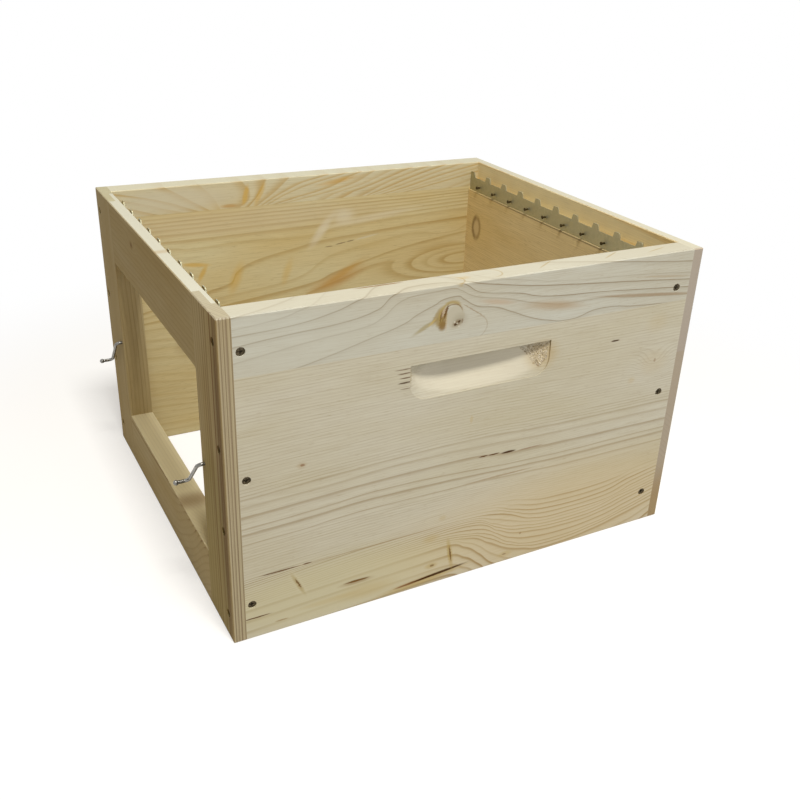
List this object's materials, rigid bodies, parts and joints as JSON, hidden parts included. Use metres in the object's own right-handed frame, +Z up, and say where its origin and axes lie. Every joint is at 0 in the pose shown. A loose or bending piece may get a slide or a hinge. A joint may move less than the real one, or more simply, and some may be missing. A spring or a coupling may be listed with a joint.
{
  "type": "hive body",
  "caption": "Open pine box that holds hanging frames of comb on toothed metal racks, with scooped hand holds and a window in one wall with turn hooks.",
  "frame": {"origin": "centre of the bottom rim, on the surface that the box stands on", "axes": "+X to the right along the front wall, +Y from the front wall to the back wall, +Z up; the window and its turn hooks are in the wall at -X"},
  "size_m": [0.5211, 0.43, 0.316],
  "materials": {
    "bare_pine": "planed, unfinished",
    "galvanised_sheet": "galvanised, dull",
    "nail_steel": "bright drawn wire",
    "zinc_screw": "zinc plated",
    "bright_wire": "zinc plated, bright"
  },
  "bodies": {
    "box": {"front_lower_board": "bare_pine", "front_upper_board": "bare_pine", "back_lower_board": "bare_pine", "back_upper_board": "bare_pine", "right_lower_board": "bare_pine", "right_upper_board": "bare_pine", "window_bottom_rail": "bare_pine", "window_top_rail": "bare_pine", "window_front_stile": "bare_pine", "window_back_stile": "bare_pine", "left_frame_rack": "galvanised_sheet", "right_frame_rack": "galvanised_sheet", "left_rack_nails": "nail_steel", "right_rack_nails": "nail_steel", "front_face_left_screws": "zinc_screw", "front_face_right_screws": "zinc_screw", "back_face_left_screws": "zinc_screw", "back_face_right_screws": "zinc_screw", "left_face_front_screws": "zinc_screw", "left_face_back_screws": "zinc_screw", "right_face_front_screws": "zinc_screw", "right_face_back_screws": "zinc_screw"},
    "front_hook": {"front_turn_hook": "bright_wire"},
    "back_hook": {"back_turn_hook": "bright_wire"}
  },
  "joints": [
    {"name": "front_hook_turn", "type": "hinge", "parent": "box", "child": "front_hook", "pos_m": [-0.25, -0.157, 0.1585], "axis": [1, 0, 0], "range_deg": [-135, 45]},
    {"name": "back_hook_turn", "type": "hinge", "parent": "box", "child": "back_hook", "pos_m": [-0.25, 0.157, 0.151], "axis": [1, 0, 0], "range_deg": [-135, 45]}
  ]
}
